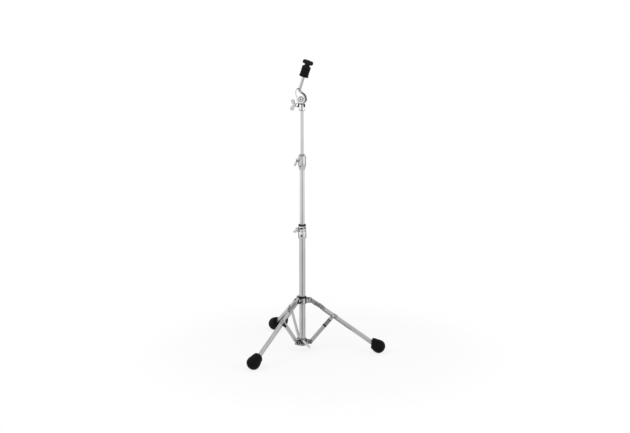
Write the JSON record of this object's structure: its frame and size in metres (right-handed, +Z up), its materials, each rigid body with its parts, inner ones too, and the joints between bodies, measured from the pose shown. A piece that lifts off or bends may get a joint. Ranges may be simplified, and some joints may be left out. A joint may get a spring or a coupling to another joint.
{
  "type": "straight cymbal stand",
  "caption": "Folding straight cymbal stand: single-braced tripod with rubber feet, telescoping chrome tubes with wing-nut clamps, and a tilter with felts and a hand nut.",
  "frame": {"origin": "the bottom centre of the box round the whole stand; the column stands 88 mm from it along -X", "axes": "+Z up along the column, +X along leg 1"},
  "size_m": [0.5946, 0.6768, 1.3469],
  "materials": {
    "chrome": "mirror bright chrome plate on steel tube, sheet and wire",
    "cast_chrome": "chrome plate on die-cast metal, slightly softer edges",
    "black_nylon": "black moulded nylon, satin",
    "black_rubber": "black rubber, matt",
    "black_felt": "black pressed felt",
    "badge": "bare dark grey foil plate without any print"
  },
  "bodies": {
    "stand_base": {"base_tube": "chrome", "tube_end_plug": "black_rubber", "lower_collar": "cast_chrome", "base_clamp": "cast_chrome", "base_clamp_bolt": "chrome"},
    "collar_wing": {"collar_wing_bolt": "chrome"},
    "base_clamp_wing": {"base_clamp_wing_nut": "chrome"},
    "hub": {"leg_hub": "cast_chrome", "hub_ring": "black_nylon", "leg_hinge_pin_1": "chrome", "leg_hinge_pin_2": "chrome", "leg_hinge_pin_3": "chrome"},
    "leg_1_body": {"leg_1": "chrome", "leg_bracket_1": "chrome", "foot_1": "black_rubber", "brace_leg_pin_1": "chrome", "brace_bush_1": "black_nylon"},
    "leg_2_body": {"leg_2": "chrome", "leg_bracket_2": "chrome", "foot_2": "black_rubber", "brace_leg_pin_2": "chrome", "brace_bush_2": "black_nylon"},
    "leg_3_body": {"leg_3": "chrome", "leg_bracket_3": "chrome", "foot_3": "black_rubber", "brace_leg_pin_3": "chrome", "brace_bush_3": "black_nylon"},
    "brace_1_body": {"brace_1": "chrome", "brace_collar_pin_1": "chrome", "brace_badge": "badge"},
    "brace_2_body": {"brace_2": "chrome", "brace_collar_pin_2": "chrome"},
    "brace_3_body": {"brace_3": "chrome", "brace_collar_pin_3": "chrome"},
    "base_bush": {"base_clamp_bush": "black_nylon"},
    "middle": {"middle_tube": "chrome", "mid_clamp": "cast_chrome", "mid_clamp_bolt": "chrome"},
    "mid_clamp_wing": {"mid_clamp_wing_nut": "chrome"},
    "mid_bush": {"mid_clamp_bush": "black_nylon"},
    "top": {"top_tube": "chrome", "tilter_base": "cast_chrome"},
    "tilter_wing": {"tilter_wing_bolt": "chrome"},
    "arm": {"tilter_arm": "cast_chrome", "tilter_pivot_bolt": "chrome", "tilter_pivot_nut": "chrome", "cymbal_rod": "chrome", "cymbal_seat": "black_nylon", "cymbal_sleeve": "black_nylon", "lower_felt": "black_felt"},
    "topper": {"upper_felt": "black_felt", "topper_washer": "black_nylon"},
    "topper_hand_nut": {"topper_nut": "black_nylon"}
  },
  "joints": [
    {"name": "hub_slide", "type": "slide", "parent": "stand_base", "child": "hub", "axis": [0, 0, 1], "range_m": [0, 0.09]},
    {"name": "leg_1_fold", "type": "hinge", "parent": "hub", "child": "leg_1_body", "pos_m": [-0.05244, 0, 0.24496], "axis": [0, 1, 0], "range_deg": [0, 43.28]},
    {"name": "leg_2_fold", "type": "hinge", "parent": "hub", "child": "leg_2_body", "pos_m": [-0.10644, 0.03118, 0.24496], "axis": [-0.866, -0.5, 0], "range_deg": [0, 43.28]},
    {"name": "leg_3_fold", "type": "hinge", "parent": "hub", "child": "leg_3_body", "pos_m": [-0.10644, -0.03118, 0.24496], "axis": [0.866, -0.5, 0], "range_deg": [0, 43.28]},
    {"name": "brace_1_fold", "type": "hinge", "parent": "leg_1_body", "child": "brace_1_body", "pos_m": [0.05586, 0, 0.171], "axis": [0, -1, 0], "range_deg": [0, 73.58]},
    {"name": "brace_2_fold", "type": "hinge", "parent": "leg_2_body", "child": "brace_2_body", "pos_m": [-0.16059, 0.12497, 0.171], "axis": [0.866, 0.5, 0], "range_deg": [0, 73.58]},
    {"name": "brace_3_fold", "type": "hinge", "parent": "leg_3_body", "child": "brace_3_body", "pos_m": [-0.16059, -0.12497, 0.171], "axis": [-0.866, 0.5, 0], "range_deg": [0, 73.58]},
    {"name": "collar_wing_turn", "type": "hinge", "parent": "stand_base", "child": "collar_wing", "pos_m": [-0.07279, -0.02711, 0.041], "axis": [0.5, -0.866, 0], "continuous": true},
    {"name": "base_clamp_wing_turn", "type": "hinge", "parent": "stand_base", "child": "base_clamp_wing", "pos_m": [-0.10524, -0.0184, 0.5741], "axis": [0.3355, -0.9421, 0], "continuous": true},
    {"name": "middle_swivel", "type": "hinge", "parent": "stand_base", "child": "base_bush", "pos_m": [-0.08844, 0, 0.5715], "axis": [0, 0, 1], "continuous": true},
    {"name": "middle_height", "type": "slide", "parent": "base_bush", "child": "middle", "axis": [0, 0, 1], "range_m": [-0.245, 0.12]},
    {"name": "mid_clamp_wing_turn", "type": "hinge", "parent": "middle", "child": "mid_clamp_wing", "pos_m": [-0.10852, -0.01381, 0.893], "axis": [0.1564, -0.9877, 0], "continuous": true},
    {"name": "top_swivel", "type": "hinge", "parent": "middle", "child": "mid_bush", "pos_m": [-0.08844, 0, 0.9], "axis": [0, 0, 1], "continuous": true},
    {"name": "top_height", "type": "slide", "parent": "mid_bush", "child": "top", "axis": [0, 0, 1], "range_m": [-0.19, 0.12]},
    {"name": "tilter_wing_turn", "type": "hinge", "parent": "top", "child": "tilter_wing", "pos_m": [-0.11569, 0.00549, 1.1415], "axis": [-0.9803, 0.1977, 0], "continuous": true},
    {"name": "tilt", "type": "hinge", "parent": "top", "child": "arm", "pos_m": [-0.08844, 0, 1.1695], "axis": [0.1977, 0.9803, 0], "range_deg": [-45, 70]},
    {"name": "topper_lift", "type": "slide", "parent": "arm", "child": "topper", "axis": [0.3094, -0.0624, 0.9489], "range_m": [0, 0.03]},
    {"name": "topper_turn", "type": "hinge", "parent": "topper", "child": "topper_hand_nut", "pos_m": [-0.06435, -0.00486, 1.31941], "axis": [0.3094, -0.0624, 0.9489], "continuous": true}
  ],
  "couplings": [
    {"joint": "leg_1_fold", "follows": "hub_slide", "rad_per_m": 8.3904},
    {"joint": "leg_2_fold", "follows": "hub_slide", "rad_per_m": 8.3904},
    {"joint": "leg_3_fold", "follows": "hub_slide", "rad_per_m": 8.3904},
    {"joint": "brace_1_fold", "follows": "hub_slide", "rad_per_m": 14.268},
    {"joint": "brace_2_fold", "follows": "hub_slide", "rad_per_m": 14.268},
    {"joint": "brace_3_fold", "follows": "hub_slide", "rad_per_m": 14.268}
  ]
}
